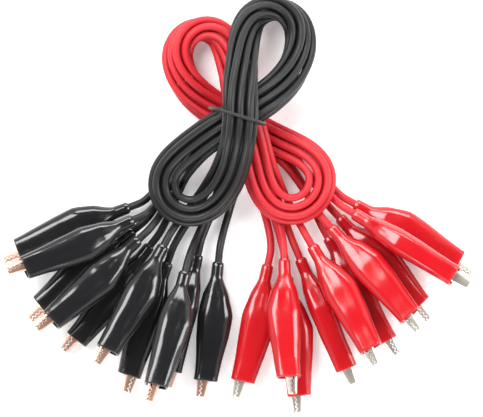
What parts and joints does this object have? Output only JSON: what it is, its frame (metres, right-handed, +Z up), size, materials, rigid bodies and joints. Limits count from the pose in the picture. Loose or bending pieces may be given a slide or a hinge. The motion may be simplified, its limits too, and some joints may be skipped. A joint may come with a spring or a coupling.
{
  "type": "alligator clip test lead set",
  "caption": "Tied bundle of black and red test leads with a vinyl-booted, spring-closed alligator clip on each end.",
  "frame": {"origin": "on the surface, under the middle of the clips' footprint", "axes": "+Z up, +X to the right across the fan of clips, +Y from the clips towards the hanks' far loops"},
  "size_m": [0.1607, 0.1415, 0.0377],
  "materials": {
    "black_vinyl": "glossy moulded vinyl",
    "red_vinyl": "glossy moulded vinyl",
    "black_cable": "satin cable jacket",
    "red_cable": "satin cable jacket",
    "coppered_jaw": "copper flashed steel",
    "nickel_jaw": "warm nickel plate",
    "rivet_steel": "plated",
    "spring_steel": "drawn wire",
    "copper_strand": "bright strand",
    "tie_plastic": "plastic covered wire"
  },
  "bodies": {
    "root": {"black_10_boot": "black_vinyl", "black_10_conductor": "copper_strand", "black_10_fixed_jaw": "coppered_jaw", "black_10_rivet": "rivet_steel", "black_10_spring": "spring_steel", "black_1_boot": "black_vinyl", "black_1_conductor": "copper_strand", "black_1_fixed_jaw": "coppered_jaw", "black_1_rivet": "rivet_steel", "black_1_spring": "spring_steel", "black_2_boot": "black_vinyl", "black_3_boot": "black_vinyl", "black_4_boot": "black_vinyl", "black_5_boot": "black_vinyl", "black_6_boot": "black_vinyl", "black_7_boot": "black_vinyl", "black_8_boot": "black_vinyl", "black_9_boot": "black_vinyl", "black_cord_1": "black_cable", "black_cord_2": "black_cable", "black_cord_3": "black_cable", "black_cord_4": "black_cable", "black_cord_5": "black_cable", "bundle_tie": "tie_plastic", "red_10_boot": "red_vinyl", "red_1_boot": "red_vinyl", "red_2_boot": "red_vinyl", "red_3_boot": "red_vinyl", "red_4_boot": "red_vinyl", "red_5_boot": "red_vinyl", "red_6_boot": "red_vinyl", "red_7_boot": "red_vinyl", "red_8_boot": "red_vinyl", "red_9_boot": "red_vinyl", "red_cord_1": "red_cable", "red_cord_2": "red_cable", "red_cord_3": "red_cable", "red_cord_4": "red_cable", "red_cord_5": "red_cable"},
    "black_1_jaw": {"black_1_moving_jaw": "coppered_jaw"},
    "black_2_jaw": {"black_2_moving_jaw": "coppered_jaw"},
    "black_3_jaw": {"black_3_moving_jaw": "coppered_jaw"},
    "black_4_jaw": {"black_4_moving_jaw": "coppered_jaw"},
    "black_5_jaw": {"black_5_moving_jaw": "coppered_jaw"},
    "black_6_jaw": {"black_6_moving_jaw": "coppered_jaw"},
    "black_7_jaw": {"black_7_moving_jaw": "coppered_jaw"},
    "black_8_jaw": {"black_8_moving_jaw": "coppered_jaw"},
    "black_9_jaw": {"black_9_moving_jaw": "coppered_jaw"},
    "black_10_jaw": {"black_10_moving_jaw": "coppered_jaw"},
    "red_1_jaw": {"red_1_moving_jaw": "nickel_jaw"},
    "red_2_jaw": {"red_2_moving_jaw": "nickel_jaw"},
    "red_3_jaw": {"red_3_moving_jaw": "nickel_jaw"},
    "red_4_jaw": {"red_4_moving_jaw": "nickel_jaw"},
    "red_5_jaw": {"red_5_moving_jaw": "nickel_jaw"},
    "red_6_jaw": {"red_6_moving_jaw": "nickel_jaw"},
    "red_7_jaw": {"red_7_moving_jaw": "nickel_jaw"},
    "red_8_jaw": {"red_8_moving_jaw": "nickel_jaw"},
    "red_9_jaw": {"red_9_moving_jaw": "nickel_jaw"},
    "red_10_jaw": {"red_10_moving_jaw": "nickel_jaw"}
  },
  "joints": [
    {"name": "black_1_hinge", "type": "hinge", "parent": "root", "child": "black_1_jaw", "pos_m": [-0.05772, 0.02654, 0.0044], "axis": [0, 0, -1], "range_deg": [0, 16], "stiffness_Nm_per_rad": 0.03, "springref_deg": -17.19, "deforming": ["black_1_boot"]},
    {"name": "black_2_hinge", "type": "hinge", "parent": "root", "child": "black_2_jaw", "pos_m": [-0.05485, 0.01942, 0.01393], "axis": [0.1429, 0.0636, 0.9877], "range_deg": [0, 16], "stiffness_Nm_per_rad": 0.03, "springref_deg": -17.19, "deforming": ["black_2_boot"]},
    {"name": "black_3_hinge", "type": "hinge", "parent": "root", "child": "black_3_jaw", "pos_m": [-0.05316, 0.01253, 0.0044], "axis": [0, 0, -1], "range_deg": [0, 16], "stiffness_Nm_per_rad": 0.03, "springref_deg": -17.19, "deforming": ["black_3_boot"]},
    {"name": "black_4_hinge", "type": "hinge", "parent": "root", "child": "black_4_jaw", "pos_m": [-0.04879, 0.00707, 0.01393], "axis": [0.1144, 0.1067, 0.9877], "range_deg": [0, 16], "stiffness_Nm_per_rad": 0.03, "springref_deg": -17.19, "deforming": ["black_4_boot"]},
    {"name": "black_5_hinge", "type": "hinge", "parent": "root", "child": "black_5_jaw", "pos_m": [-0.04251, 0.00256, 0.0044], "axis": [0, 0, 1], "range_deg": [0, 16], "stiffness_Nm_per_rad": 0.03, "springref_deg": -17.19, "deforming": ["black_5_boot"]},
    {"name": "black_6_hinge", "type": "hinge", "parent": "root", "child": "black_6_jaw", "pos_m": [-0.03441, 0.0009, 0.01373], "axis": [0.0734, 0.1381, 0.9877], "range_deg": [0, 16], "stiffness_Nm_per_rad": 0.03, "springref_deg": -17.19, "deforming": ["black_6_boot"]},
    {"name": "black_7_hinge", "type": "hinge", "parent": "root", "child": "black_7_jaw", "pos_m": [-0.03196, -0.00561, 0.0044], "axis": [0, 0, -1], "range_deg": [0, 16], "stiffness_Nm_per_rad": 0.03, "springref_deg": -17.19, "deforming": ["black_7_boot"]},
    {"name": "black_8_hinge", "type": "hinge", "parent": "root", "child": "black_8_jaw", "pos_m": [-0.02203, -0.00931, 0.01835], "axis": [0.0503, 0.2017, 0.9781], "range_deg": [0, 16], "stiffness_Nm_per_rad": 0.03, "springref_deg": -17.19, "deforming": ["black_8_boot"]},
    {"name": "black_9_hinge", "type": "hinge", "parent": "root", "child": "black_9_jaw", "pos_m": [-0.01853, -0.00389, 0.0062], "axis": [-0.9744, 0.225, 0], "range_deg": [0, 16], "stiffness_Nm_per_rad": 0.03, "springref_deg": -17.19, "deforming": ["black_9_boot"]},
    {"name": "black_10_hinge", "type": "hinge", "parent": "root", "child": "black_10_jaw", "pos_m": [-0.00792, -0.00691, 0.0044], "axis": [0, 0, 1], "range_deg": [0, 16], "stiffness_Nm_per_rad": 0.03, "springref_deg": -17.19, "deforming": ["black_10_boot"]},
    {"name": "red_1_hinge", "type": "hinge", "parent": "root", "child": "red_1_jaw", "pos_m": [0.00673, -0.00762, 0.0044], "axis": [0, 0, 1], "range_deg": [0, 16], "stiffness_Nm_per_rad": 0.03, "springref_deg": -17.19, "deforming": ["red_1_boot"]},
    {"name": "red_2_hinge", "type": "hinge", "parent": "root", "child": "red_2_jaw", "pos_m": [0.01545, -0.00558, 0.01333], "axis": [0.0055, -0.1563, -0.9877], "range_deg": [0, 16], "stiffness_Nm_per_rad": 0.03, "springref_deg": -17.19, "deforming": ["red_2_boot"]},
    {"name": "red_3_hinge", "type": "hinge", "parent": "root", "child": "red_3_jaw", "pos_m": [0.02011, -0.0118, 0.0044], "axis": [0, 0, 1], "range_deg": [0, 16], "stiffness_Nm_per_rad": 0.03, "springref_deg": -17.19, "deforming": ["red_3_boot"]},
    {"name": "red_4_hinge", "type": "hinge", "parent": "root", "child": "red_4_jaw", "pos_m": [0.02968, -0.00411, 0.0062], "axis": [-0.9205, -0.3907, 0], "range_deg": [0, 16], "stiffness_Nm_per_rad": 0.03, "springref_deg": -17.19, "deforming": ["red_4_boot"]},
    {"name": "red_5_hinge", "type": "hinge", "parent": "root", "child": "red_5_jaw", "pos_m": [0.03678, 0.00225, 0.01473], "axis": [-0.0782, 0.1355, 0.9877], "range_deg": [0, 16], "stiffness_Nm_per_rad": 0.03, "springref_deg": -17.19, "deforming": ["red_5_boot"]},
    {"name": "red_6_hinge", "type": "hinge", "parent": "root", "child": "red_6_jaw", "pos_m": [0.04031, 0.00373, 0.0044], "axis": [0, 0, -1], "range_deg": [0, 16], "stiffness_Nm_per_rad": 0.03, "springref_deg": -17.19, "deforming": ["red_6_boot"]},
    {"name": "red_7_hinge", "type": "hinge", "parent": "root", "child": "red_7_jaw", "pos_m": [0.04669, 0.01132, 0.01393], "axis": [-0.1047, 0.1163, 0.9877], "range_deg": [0, 16], "stiffness_Nm_per_rad": 0.03, "springref_deg": -17.19, "deforming": ["red_7_boot"]},
    {"name": "red_8_hinge", "type": "hinge", "parent": "root", "child": "red_8_jaw", "pos_m": [0.05007, 0.01478, 0.0044], "axis": [0, 0, 1], "range_deg": [0, 16], "stiffness_Nm_per_rad": 0.03, "springref_deg": -17.19, "deforming": ["red_8_boot"]},
    {"name": "red_9_hinge", "type": "hinge", "parent": "root", "child": "red_9_jaw", "pos_m": [0.05745, 0.02003, 0.01562], "axis": [-0.5299, -0.848, 0], "range_deg": [0, 16], "stiffness_Nm_per_rad": 0.03, "springref_deg": -17.19, "deforming": ["red_9_boot"]},
    {"name": "red_10_hinge", "type": "hinge", "parent": "root", "child": "red_10_jaw", "pos_m": [0.05937, 0.02489, 0.0044], "axis": [0, 0, 1], "range_deg": [0, 16], "stiffness_Nm_per_rad": 0.03, "springref_deg": -17.19, "deforming": ["red_10_boot"]}
  ]
}
